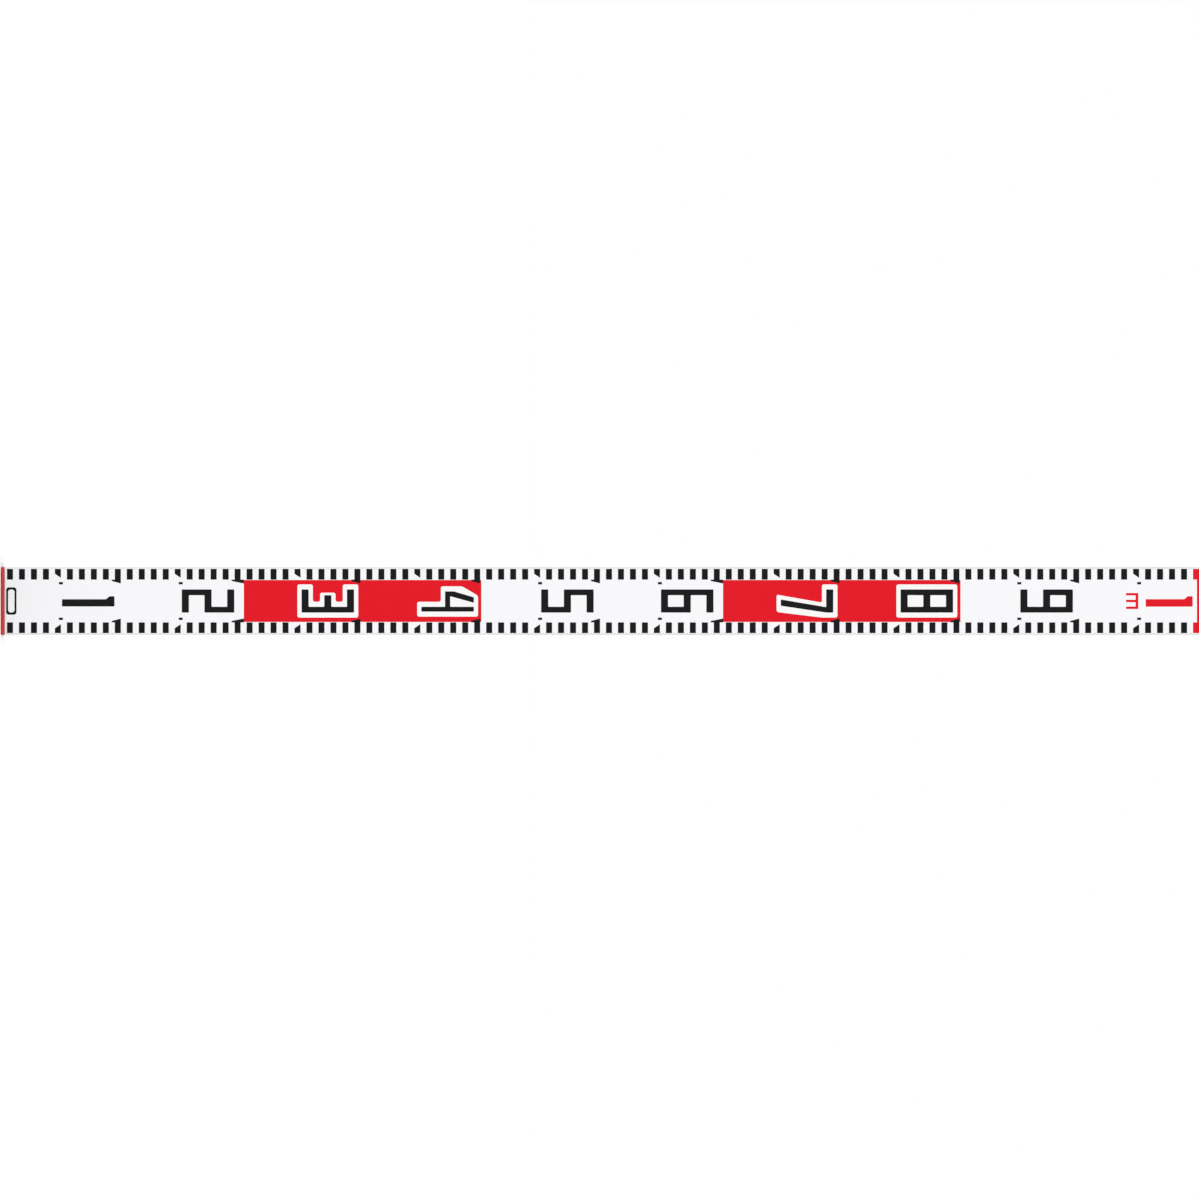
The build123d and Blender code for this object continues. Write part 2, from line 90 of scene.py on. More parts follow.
Point = tuple[float, float]
Outline = list[Point]
Span = tuple[float, float]
Stretch = tuple[float, float, float]
Tree = bpy.types.NodeTree
Node = bpy.types.Node
Socket = bpy.types.NodeSocket

# Numbers of the colour sockets of a Mix node, whose names are shared by its other kinds of socket
MIX_FACTOR, MIX_FIRST, MIX_SECOND, MIX_RESULT = 0, 6, 7, 2

# Detail of the noise patterns, from a soft grain to cloudy patches
GRAIN_DETAIL, STREAK_DETAIL, LINE_DETAIL, CLOUD_DETAIL = 2.0, 3.0, 4.0, 5.0

# Wear on edges, each from where it starts to where it is full: the cosine between the real and the
# rounded normal, the level of the noise that parts it into patches, and the open share round a spot
EDGE_TURN = (0.995, 0.9)
WEAR_LEVELS = (0.42, 0.62)
OPEN_SHARE = (0.8, 0.95)

# Rays that look for edges and hollows
WEAR_SAMPLES = 4


def linear(code: str) -> tuple[float, float, float, float]:
    """Turns an sRGB hex colour into linear light.

    Args:
        code: colour such as "#C8202A".

    Returns:
        Linear red, green, blue and an alpha of one.
    """
    shares = [int(code[start : start + 2], 16) / 255 for start in (1, 3, 5)]
    light = [s / 12.92 if s <= 0.04045 else ((s + 0.055) / 1.055) ** 2.4 for s in shares]
    return light[0], light[1], light[2], 1.0


def pattern_scale(size_mm: float) -> float:
    """Scale of a texture whose features are about size_mm across."""
    return 1 / (size_mm * MM)


def add_node(tree: Tree, kind: str, inputs: dict | None = None, **settings: object) -> Node:
    """Adds one shader node.

    Args:
        tree: node tree that takes the node.
        kind: Blender's name for the kind of node.
        inputs: values, or sockets to link from, by the name or number of the input.
        settings: properties of the node itself.

    Returns:
        The new node.
    """
    node = tree.nodes.new(kind)
    for name, value in settings.items():
        setattr(node, name, value)
    for name, value in (inputs or {}).items():
        if isinstance(value, bpy.types.NodeSocket):
            tree.links.new(value, node.inputs[name])
        else:
            node.inputs[name].default_value = value
    return node


def add_piece(name: str, sheet: bmesh.types.BMesh) -> bpy.types.Object:
    """Makes a finished bmesh an object of the scene, and frees it.

    Args:
        name: name of the object and of its mesh.
        sheet: the bmesh, in metres and in its place.

    Returns:
        The new object.
    """
    mesh = bpy.data.meshes.new(name)
    sheet.to_mesh(mesh)
    sheet.free()
    piece = bpy.data.objects.new(name, mesh)
    bpy.context.scene.collection.objects.link(piece)
    return piece


@dataclass(frozen=True)
class Finish:
    """One material, from what it is made of and how its surface was made.

    Attributes:
        name: the material's name.
        colour: sRGB hex colour of the clean surface.
        roughness: mean roughness.
        spread: how far the roughness strays from its mean.
        metallic: one for bare metal.
        ior: index of refraction, left at the default on a metal.
        gloss: specular level, a half for a plain smooth surface.
    """

    name: str
    colour: str
    roughness: float
    spread: float = 0.06
    metallic: float = 0.0
    ior: float = 1.5
    gloss: float = 0.5

    def make(self) -> bpy.types.Material:
        """Builds the material.

        Returns:
            The material, with its pattern on Object coordinates.
        """
        material = bpy.data.materials.new(self.name)
        material.use_nodes = True
        tree = material.node_tree
        tree.nodes.clear()
        inputs = {
            "Base Color": linear(self.colour),
            "Roughness": self.roughness,
            "Metallic": self.metallic,
            "IOR": self.ior,
            "Specular IOR Level": self.gloss,
        }
        shader = add_node(tree, "ShaderNodeBsdfPrincipled", inputs)
        add_node(tree, "ShaderNodeOutputMaterial", {"Surface": shader.outputs["BSDF"]})
        place = add_node(tree, "ShaderNodeTexCoord").outputs["Object"]
        self.pattern(tree, shader, place)
        return material

    def pattern(self, tree: Tree, shader: Node, place: Socket) -> None:
        """Adds what makes the surface uneven, which each kind of finish does in its own way.

        Args:
            tree: node tree of the material.
            shader: its Principled shader.
            place: Object coordinates.
        """
        raise NotImplementedError

    def vary_roughness(self, tree: Tree, shader: Node, source: Socket) -> None:
        """Lets the roughness stray about its mean.

        Args:
            tree: node tree of the material.
            shader: its Principled shader.
            source: pattern from 0 to 1 that it follows.
        """
        limits = {"To Min": self.roughness - self.spread, "To Max": self.roughness + self.spread}
        rough = add_node(tree, "ShaderNodeMapRange", {"Value": source, **limits})
        tree.links.new(rough.outputs["Result"], shader.inputs["Roughness"])

    def lay_colours(self, tree: Tree, shader: Node, coats: list[tuple[Socket, str]]) -> None:
        """Lays further colours over the clean one.

        Args:
            tree: node tree of the material.
            shader: its Principled shader.
            coats: pairs of a socket, which is 1 where a colour covers, and that sRGB hex colour.
        """
        tone = linear(self.colour)
        for share, colour in coats:
            colours = {MIX_FACTOR: share, MIX_FIRST: tone, MIX_SECOND: linear(colour)}
            tone = add_node(tree, "ShaderNodeMix", colours, data_type="RGBA").outputs[MIX_RESULT]
        tree.links.new(tone, shader.inputs["Base Color"])

    def edge_rub(self, tree: Tree, place: Socket, reach_mm: float, patch_mm: float) -> Socket:
        """Finds the edges that hands and cases rub.

        Args:
            tree: node tree of the material.
            place: Object coordinates.
            reach_mm: how far the rubbing reaches in from an edge.
            patch_mm: size of the patches that it comes in.

        Returns:
            A socket that is 1 on a rubbed edge, and 0 on the flats and in hollows out of reach.
        """
        radius = {"Radius": reach_mm * MM}
        rounded = add_node(tree, "ShaderNodeBevel", radius, samples=WEAR_SAMPLES).outputs["Normal"]
        real = add_node(tree, "ShaderNodeNewGeometry").outputs["Normal"]
        normals = {0: rounded, 1: real}
        turn = add_node(tree, "ShaderNodeVectorMath", normals, operation="DOT_PRODUCT")
        noise = {"Vector": place, "Scale": pattern_scale(patch_mm)}
        patches = add_node(tree, "ShaderNodeTexNoise", noise)
        near = {"Distance": 2 * reach_mm * MM}
        settings = {"samples": WEAR_SAMPLES, "only_local": True}
        around = add_node(tree, "ShaderNodeAmbientOcclusion", near, **settings)
        shares = []
        for source, (start, full) in (
            (turn.outputs["Value"], EDGE_TURN),
            (patches.outputs[0], WEAR_LEVELS),
            (around.outputs["AO"], OPEN_SHARE),
        ):
            fade = {"Value": source, "From Min": start, "From Max": full}
            shares.append(add_node(tree, "ShaderNodeMapRange", fade).outputs["Result"])
        edge, worn, within_reach = shares
        both = {0: edge, 1: worn}
        rubbed = add_node(tree, "ShaderNodeMath", both, operation="MULTIPLY").outputs["Value"]
        both = {0: rubbed, 1: within_reach}
        return add_node(tree, "ShaderNodeMath", both, operation="MULTIPLY").outputs["Value"]


@dataclass(frozen=True)
class Coated(Finish):
    """Enamel sprayed and baked on drawn aluminium.

    Attributes:
        peel_mm: width of the orange peel that the sprayed coat dries to.
        line_mm: spacing of the die lines that still show through the coat.
        line_stretch: scale of the die lines along X, Y and Z, small along their run.
        relief_mm: depth of the peel and the die lines.
        handled: colour that a handled patch tends to.
        patch_mm: size of a handled patch across the rod.
        patch_stretch: scale of the patches along X, Y and Z, small along the rod.
        patch_levels: levels of noise between which a patch fades in.
        patch_share: most that a patch turns towards its colour.
        under: colour of the metal that shows where an edge or a scuff is rubbed through.
        scuff_levels: levels of the die lines between which a scuff fades in.
        scuff_share: most that a scuff in a handled patch bares.
        rub_mm: how far the rubbing reaches in from an edge.
        rub_patch_mm: size of the patches that the rubbing comes in.
    """

    peel_mm: float = 2.4
    line_mm: float = 1.6
    line_stretch: Stretch = (1.0, 1.0, 0.01)
    relief_mm: float = 0.012
    handled: str = "#D3D0C6"
    patch_mm: float = 70.0
    patch_stretch: Stretch = (1.0, 1.0, 0.35)
    patch_levels: Span = (0.45, 0.7)
    patch_share: float = 0.5
    under: str = "#B9BBBD"
    scuff_levels: Span = (0.56, 0.72)
    scuff_share: float = 0.9
    rub_mm: float = 0.5
    rub_patch_mm: float = 9.0

    def pattern(self, tree: Tree, shader: Node, place: Socket) -> None:
        """Adds orange peel, die lines and scuffs along the rod, handled patches and rubbed edges.

        Args:
            tree: node tree of the material.
            shader: its Principled shader.
            place: Object coordinates.
        """
        noise = {"Vector": place, "Scale": pattern_scale(self.peel_mm), "Detail": GRAIN_DETAIL}
        peel = add_node(tree, "ShaderNodeTexNoise", noise).outputs[0]
        stretch = {"Vector": place, "Scale": self.line_stretch}
        drawn = add_node(tree, "ShaderNodeMapping", stretch).outputs[0]
        noise = {"Vector": drawn, "Scale": pattern_scale(self.line_mm), "Detail": LINE_DETAIL}
        lines = add_node(tree, "ShaderNodeTexNoise", noise).outputs[0]
        both = {0: peel, 1: lines}
        height = add_node(tree, "ShaderNodeMath", both, operation="ADD").outputs[0]
        relief = {"Height": height, "Distance": self.relief_mm * MM}
        bump = add_node(tree, "ShaderNodeBump", relief)
        tree.links.new(bump.outputs["Normal"], shader.inputs["Normal"])

        stretch = {"Vector": place, "Scale": self.patch_stretch}
        hand = add_node(tree, "ShaderNodeMapping", stretch).outputs[0]
        noise = {"Vector": hand, "Scale": pattern_scale(self.patch_mm), "Detail": CLOUD_DETAIL}
        grime = add_node(tree, "ShaderNodeTexNoise", noise).outputs[0]
        start, full = self.patch_levels
        fade = {"Value": grime, "From Min": start, "From Max": full, "To Max": self.patch_share}
        dirt = add_node(tree, "ShaderNodeMapRange", fade).outputs["Result"]
        start, full = self.scuff_levels
        fade = {"Value": lines, "From Min": start, "From Max": full, "To Max": self.scuff_share}
        scuffs = add_node(tree, "ShaderNodeMapRange", fade).outputs["Result"]
        both = {0: scuffs, 1: dirt}
        scuffed = add_node(tree, "ShaderNodeMath", both, operation="MULTIPLY").outputs[0]
        both = {0: scuffed, 1: self.edge_rub(tree, place, self.rub_mm, self.rub_patch_mm)}
        bared = add_node(tree, "ShaderNodeMath", both, operation="MAXIMUM").outputs[0]
        self.lay_colours(tree, shader, [(dirt, self.handled), (bared, self.under)])
        self.vary_roughness(tree, shader, grime)


@dataclass(frozen=True)
class Printed(Finish):
    """Matt polyester film, or a screen ink on it.

    Attributes:
        speck: colour of the pinholes and rubbed specks.
        speck_mm: size of the specks.
        speck_levels: levels of noise between which a speck fades in.
        speck_share: most that a speck turns towards its colour.
        rub_mm: spacing of the faint marks that sliding through the collars leaves along the rod.
        rub_stretch: scale of these marks along X, Y and Z, small along their run.
    """

    speck: str = "#DDDDDA"
    speck_mm: float = 0.9
    speck_levels: Span = (0.58, 0.8)
    speck_share: float = 0.2
    rub_mm: float = 1.1
    rub_stretch: Stretch = (1.0, 1.0, 0.012)

    def pattern(self, tree: Tree, shader: Node, place: Socket) -> None:
        """Adds specks in the colour and rub marks along the rod in the roughness.

        Args:
            tree: node tree of the material.
            shader: its Principled shader.
            place: Object coordinates.
        """
        noise = {"Vector": place, "Scale": pattern_scale(self.speck_mm), "Detail": STREAK_DETAIL}
        specks = add_node(tree, "ShaderNodeTexNoise", noise).outputs[0]
        start, full = self.speck_levels
        fade = {"Value": specks, "From Min": start, "From Max": full, "To Max": self.speck_share}
        speckled = add_node(tree, "ShaderNodeMapRange", fade).outputs["Result"]
        self.lay_colours(tree, shader, [(speckled, self.speck)])

        stretch = {"Vector": place, "Scale": self.rub_stretch}
        along = add_node(tree, "ShaderNodeMapping", stretch).outputs[0]
        noise = {"Vector": along, "Scale": pattern_scale(self.rub_mm), "Detail": STREAK_DETAIL}
        rubs = add_node(tree, "ShaderNodeTexNoise", noise).outputs[0]
        self.vary_roughness(tree, shader, rubs)


@dataclass(frozen=True)
class Moulded(Finish):
    """Plastic or rubber from a spark-eroded mould.

    Attributes:
        grain_mm: width of the mould's grain.
        grain_depth_mm: depth of that grain.
        flow: colour of the faint streaks that the flow into the mould leaves.
        flow_mm: width of the streaks.
        flow_swirl: how much the streaks swirl.
        flow_levels: levels of noise between which a streak fades in.
        flow_share: most that a streak turns towards its colour.
        rubbed: colour of a rubbed edge.
        rub_mm: how far the rubbing reaches in from an edge.
        rub_patch_mm: size of the patches that the rubbing comes in.
    """

    grain_mm: float = 0.7
    grain_depth_mm: float = 0.02
    flow: str = "#000000"
    flow_mm: float = 16.0
    flow_swirl: float = 1.2
    flow_levels: Span = (0.35, 0.75)
    flow_share: float = 0.5
    rubbed: str = "#FFFFFF"
    rub_mm: float = 0.45
    rub_patch_mm: float = 5.0

    def pattern(self, tree: Tree, shader: Node, place: Socket) -> None:
        """Adds the mould's grain, flow streaks and rubbed edges.

        Args:
            tree: node tree of the material.
            shader: its Principled shader.
            place: Object coordinates.
        """
        noise = {"Vector": place, "Scale": pattern_scale(self.grain_mm), "Detail": GRAIN_DETAIL}
        grain = add_node(tree, "ShaderNodeTexNoise", noise).outputs[0]
        relief = {"Height": grain, "Distance": self.grain_depth_mm * MM}
        bump = add_node(tree, "ShaderNodeBump", relief)
        tree.links.new(bump.outputs["Normal"], shader.inputs["Normal"])

        noise = {
            "Vector": place,
            "Scale": pattern_scale(self.flow_mm),
            "Detail": STREAK_DETAIL,
            "Distortion": self.flow_swirl,
        }
        streaks = add_node(tree, "ShaderNodeTexNoise", noise).outputs[0]
        start, full = self.flow_levels
        fade = {"Value": streaks, "From Min": start, "From Max": full, "To Max": self.flow_share}
        flowed = add_node(tree, "ShaderNodeMapRange", fade).outputs["Result"]
        rub = self.edge_rub(tree, place, self.rub_mm, self.rub_patch_mm)
        self.lay_colours(tree, shader, [(flowed, self.flow), (rub, self.rubbed)])
        self.vary_roughness(tree, shader, streaks)


@dataclass(frozen=True)
class Worked(Finish):
    """Bare or plated metal with the lines that working it left.

    Attributes:
        metallic: one, because no coat hides the metal.
        line_mm: spacing of the lines.
        line_stretch: scale of the lines along X, Y and Z, small along their run.
        line_depth_mm: depth of the lines.
        tint: second colour, from tempering, plating or oxide.
        tint_mm: size of its patches.
        tint_levels: levels of lines and patches between which it fades in.
    """

    metallic: float = 1.0
    line_mm: float = 0.35
    line_stretch: Stretch = (0.03, 1.0, 1.0)
    line_depth_mm: float = 0.004
    tint: str = "#FFFFFF"
    tint_mm: float = 4.0
    tint_levels: Span = (0.12, 0.4)

    def pattern(self, tree: Tree, shader: Node, place: Socket) -> None:
        """Adds the working lines and patches of the second colour.

        Args:
            tree: node tree of the material.
            shader: its Principled shader.
            place: Object coordinates.
        """
        stretch = {"Vector": place, "Scale": self.line_stretch}
        drawn = add_node(tree, "ShaderNodeMapping", stretch).outputs[0]
        noise = {"Vector": drawn, "Scale": pattern_scale(self.line_mm), "Detail": LINE_DETAIL}
        lines = add_node(tree, "ShaderNodeTexNoise", noise).outputs[0]
        relief = {"Height": lines, "Distance": self.line_depth_mm * MM}
        bump = add_node(tree, "ShaderNodeBump", relief)
        tree.links.new(bump.outputs["Normal"], shader.inputs["Normal"])

        noise = {"Vector": drawn, "Scale": pattern_scale(self.tint_mm), "Detail": STREAK_DETAIL}
        patches = add_node(tree, "ShaderNodeTexNoise", noise).outputs[0]
        both = {0: lines, 1: patches}
        mottle = add_node(tree, "ShaderNodeMath", both, operation="MULTIPLY").outputs[0]
        start, full = self.tint_levels
        fade = {"Value": mottle, "From Min": start, "From Max": full}
        tinted = add_node(tree, "ShaderNodeMapRange", fade).outputs["Result"]
        self.lay_colours(tree, shader, [(tinted, self.tint)])
        self.vary_roughness(tree, shader, lines)


# Extruded aluminium under white baked enamel: a bright, half-glossy skin with a soft orange peel.
# The die lines are under half a millimetre apart, and are drawn coarser so that they show
WHITE_ENAMEL = Coated("white_baked_enamel", "#E1E2E1", 0.34, spread=0.08)

# White polyester film with a matt overlay, which hides glare when the rod is read in the sun
SCALE_FILM = Printed(
    "matt_white_polyester", "#E9E9EB", 0.5, ior=1.57, gloss=0.3, speck_share=0.12
)

# Screen inks under the same matt overlay: flat, even and nearly without gloss
BLACK_INK = Printed(
    "black_screen_ink", "#0B0D0F", 0.55, gloss=0.1, speck="#24272A", speck_share=0.5
)
RED_INK = Printed(
    "red_screen_ink", "#D70C1F", 0.55, gloss=0.1, speck="#DE2A36", speck_share=0.35
)
WHITE_INK = Printed("white_screen_ink", "#ECEBEA", 0.55, gloss=0.1)

# Black ABS, moulded with a spark grain: a dark, dull sheen, edges polished paler by use.
# The grain is about 0.2 mm wide, and is drawn coarser so that it shows
BLACK_ABS = Moulded(
    "black_moulded_abs",
    "#101112",
    0.44,
    flow="#191A1C",
    rubbed="#404143",
    grain_mm=0.8,
    grain_depth_mm=0.16,
    rub_mm=1.3,
    ior=1.54,
    gloss=0.35,
)

# Red glass-filled nylon: a satin red whose rubbed edges pale a little, with the same coarser grain
RED_NYLON = Moulded(
    "red_glass_filled_nylon",
    "#C21A24",
    0.42,
    flow="#A8161F",
    rubbed="#D65A58",
    grain_mm=0.8,
    grain_depth_mm=0.09,
    rub_mm=0.7,
    ior=1.53,
    gloss=0.45,
)

# Natural nylon: waxy, ivory and slightly grained
NATURAL_NYLON = Moulded(
    "natural_nylon", "#E4DDCB", 0.4, flow="#D8CFB8", rubbed="#EFEADC", grain_mm=0.5, ior=1.53
)

# Black nitrile rubber: dull and finely rough
BLACK_RUBBER = Moulded(
    "black_nitrile_rubber",
    "#1B1B1C",
    0.82,
    flow="#262627",
    rubbed="#2E2E2F",
    grain_mm=0.4,
    ior=1.52,
)

# Stainless steel sheet and pin wire, brushed along the rod's width.
# The brushing is far finer than this, and is drawn coarser so that it shows
STAINLESS_STEEL = Worked(
    "brushed_stainless_steel", "#CDCFD1", 0.32, tint="#A2A4A7", line_mm=0.5, line_depth_mm=0.02
)

# Tempered spring steel strip: dark blue-grey with straw patches
SPRING_STEEL = Worked(
    "tempered_spring_steel", "#5B6472", 0.3, tint="#7A6F60", line_stretch=(1.0, 1.0, 0.05)
)

# Zinc-plated screws: pale grey with a faint yellow bloom
ZINC_PLATE = Worked(
    "zinc_plated_steel", "#A6A9AB", 0.36, tint="#B3B0A3", line_stretch=(1.0, 1.0, 1.0)
)

# Aluminium rivets, set flush and filed level with the tube
RIVET_ALUMINIUM = Worked(
    "filed_aluminium", "#CDCECF", 0.4, tint="#BFC0C1", line_stretch=(1.0, 0.06, 1.0)
)

# Finish of each kind of node, by the node's name without its section number
NODE_FINISHES = {
    "tube": WHITE_ENAMEL,
    "scale_film": SCALE_FILM,
    "foot_shoe": RED_NYLON,
    "latch_lever": RED_NYLON,
    "collar": BLACK_ABS,
    "top_cap": BLACK_ABS,
    "guide_shoe": NATURAL_NYLON,
    "guide_sleeve": NATURAL_NYLON,
    "bumper": BLACK_RUBBER,
    "foot_plate": STAINLESS_STEEL,
    "latch_pin": STAINLESS_STEEL,
    "latch_spring": SPRING_STEEL,
    "collar_screws": ZINC_PLATE,
    "foot_plate_screws": ZINC_PLATE,
    "top_cap_screws": ZINC_PLATE,
    "foot_rivets": RIVET_ALUMINIUM,
    "shoe_rivets": RIVET_ALUMINIUM,
}


class FinishShelf:
    """Makes each finish's material once and hands it out again after that."""

    def __init__(self) -> None:
        """Starts with no material made."""
        self._made: dict[str, bpy.types.Material] = {}

    def dress(self, piece: bpy.types.Object, finish: Finish) -> None:
        """Gives a piece its finish.

        Args:
            piece: mesh object that takes it.
            finish: the finish.
        """
        if finish.name not in self._made:
            self._made[finish.name] = finish.make()
        piece.data.materials.clear()
        piece.data.materials.append(self._made[finish.name])


class Ink(Enum):
    """The printing inks, in the order in which they are laid down."""

    RED = "red"
    WHITE = "white"
    BLACK = "black"

    @property
    def finish(self) -> Finish:
        """Finish of the dry ink."""
        return {Ink.RED: RED_INK, Ink.WHITE: WHITE_INK, Ink.BLACK: BLACK_INK}[self]

    @property
    def height_mm(self) -> float:
        """How far the ink stands above the film, so that a later ink covers an earlier one."""
        return {Ink.RED: 0.02, Ink.WHITE: 0.04, Ink.BLACK: 0.06}[self]


# The figures that aren't all stems and bars, in shares of a figure's width, of a stem or of a bar.
# One: both edges of its stem in stems, its flag's length in widths, and the flag's depth in bars,
# at its tip and at the stem
ONE_STEM = (-0.3, 0.95)
ONE_FLAG = 0.13
ONE_FLAG_BARS = (0.7, 1.2)

# Three: where its middle bar starts from the left, in widths
THREE_SPUR = 0.25

# Four: its peak left of the middle in widths, the width of its slant in stems, at arm and peak, and
# the rise of its shoulder in bars
FOUR_PEAK = 0.16
FOUR_SLANT = (0.85, 0.95)
FOUR_SHOULDER = 0.5

# Seven: its foot right of the middle in widths, and in stems half of the foot's width and the width
# of the leg at its top
SEVEN_FOOT = 0.07
SEVEN_LEG = (0.55, 0.95)


@dataclass(frozen=True)
class FigureStyle:
    """Proportions of the squared block figures.

    Attributes:
        width_mm: width of a figure.
        height_mm: height of a figure.
        stem_mm: width of its upright strokes.
        bar_mm: height of its level strokes.
        slim_mm: how much each side of a four, which has more strokes, is held in.
    """

    width_mm: float
    height_mm: float
    stem_mm: float
    bar_mm: float
    slim_mm: float = 0.0

    def grown(self, across_mm: float, along_mm: float) -> "FigureStyle":
        """The same figure drawn fatter, so that it stands out by a margin all round.

        Args:
            across_mm: how far it stands out on each side.
            along_mm: how far it stands out at its foot and its top.

        Returns:
            The style of the fatter figure.
        """
        width, stem = self.width_mm + 2 * across_mm, self.stem_mm + 2 * across_mm
        height, bar = self.height_mm + 2 * along_mm, self.bar_mm + 2 * along_mm
        return FigureStyle(width, height, stem, bar, self.slim_mm)

    def narrowed(self, share: float) -> "FigureStyle":
        """The same figure fitted to a narrower film, with its strokes kept readable.

        Args:
            share: width of that film as a share of the widest one's.

        Returns:
            The style of the narrower figure.
        """
        boldness = (1 + share) / 2
        stem, bar = self.stem_mm * boldness, self.bar_mm * boldness
        return FigureStyle(self.width_mm * share, self.height_mm, stem, bar, self.slim_mm * share)

    def outlines(self, figure: str, filled: bool = False) -> list[Outline]:
        """Draws a figure that stands on the X axis, centred on the Y axis.

        Args:
            figure: one digit, or m for the unit.
            filled: whether holes and narrow notches are closed.

        Returns:
            The outer outline, then the holes.
        """
        width, top, stem, bar = self.width_mm, self.height_mm, self.stem_mm, self.bar_mm
        right = width / 2
        left, inner, under = -right, right - stem, top - bar
        bar_low, bar_high = under / 2, (top + bar) / 2
        frame = [(left, 0), (right, 0), (right, top), (left, top)]
        upper_hole = [(-inner, bar_high), (inner, bar_high), (inner, under), (-inner, under)]
        lower_hole = [(-inner, bar), (inner, bar), (inner, bar_low), (-inner, bar_low)]
        hook = [(left, top), (left, under), (inner, under), (inner, bar_high)]
        if figure == "0":
            loops = [frame, [(-inner, bar), (inner, bar), (inner, under), (-inner, under)]]
        elif figure == "1":
            stem_left, stem_right = (share * stem for share in ONE_STEM)
            flag_tip, flag_root = (top - share * bar for share in ONE_FLAG_BARS)
            flag = stem_left - ONE_FLAG * width
            foot = [(stem_left, 0), (stem_right, 0), (stem_right, top)]
            loops = [foot + [(flag, top), (flag, flag_tip), (stem_left, flag_root)]]
        elif figure in "25":
            lower = [(left, 0), (right, 0), (right, bar), (-inner, bar), (-inner, bar_low)]
            loops = [lower + [(right, bar_low), (right, top)] + hook + [(left, bar_high)]]
        elif figure == "3":
            spur = left + THREE_SPUR * width
            lower = [(spur, bar_high), (spur, bar_low), (inner, bar_low), (inner, bar), (left, bar)]
            loops = [[(left, 0), (right, 0), (right, top)] + hook + lower]
        elif figure == "4":
            post, arm, peak = right - self.slim_mm, left + 2 * self.slim_mm, -FOUR_PEAK * width
            low, high = bar_low + self.slim_mm, bar_high - self.slim_mm
            at_arm, at_peak = (share * stem for share in FOUR_SLANT)
            notch = [(inner, top), (inner, high), (arm + at_arm, high), (peak + at_peak, top)]
            slant = [(peak, top), (arm, high + FOUR_SHOULDER * bar), (arm, low), (inner, low)]
            loops = [[(inner, 0), (post, 0), (post, top)] + ([] if filled else notch) + slant]
        elif figure in "69":
            bowl = [(left, 0), (right, 0), (right, bar_high), (-inner, bar_high)]
            arm = [(-inner, under), (right, under), (right, top), (left, top)]
            loops = [bowl + arm, lower_hole]
        elif figure == "7":
            foot = SEVEN_FOOT * width
            half_leg, slant = (share * stem for share in SEVEN_LEG)
            leg = [(foot - half_leg, 0), (foot + half_leg, 0), (right, under), (right, top)]
            loops = [[(left, top), (left, under), (right - slant, under)] + leg]
        elif figure == "8":
            loops = [frame, lower_hole, upper_hole]
        else:
            half = stem / 2
            arches = [(inner, 0), (inner, under), (half, under), (half, 0)]
            arches += [(-half, 0), (-half, under), (-inner, under), (-inner, 0)]
            loops = [[(left, 0), (left, top), (right, top), (right, 0)] + arches]
        if figure == "5":
            loops = [[(-x, y) for x, y in loop] for loop in loops]
        if figure == "9":
            loops = [[(-x, top - y) for x, y in loop] for loop in loops]
        return loops[:1] if filled else loops


# Prints: flats on a rounded corner, and the gap between two points that become one
ROUNDING_SEGMENTS = 6
MERGE_MM = 0.001


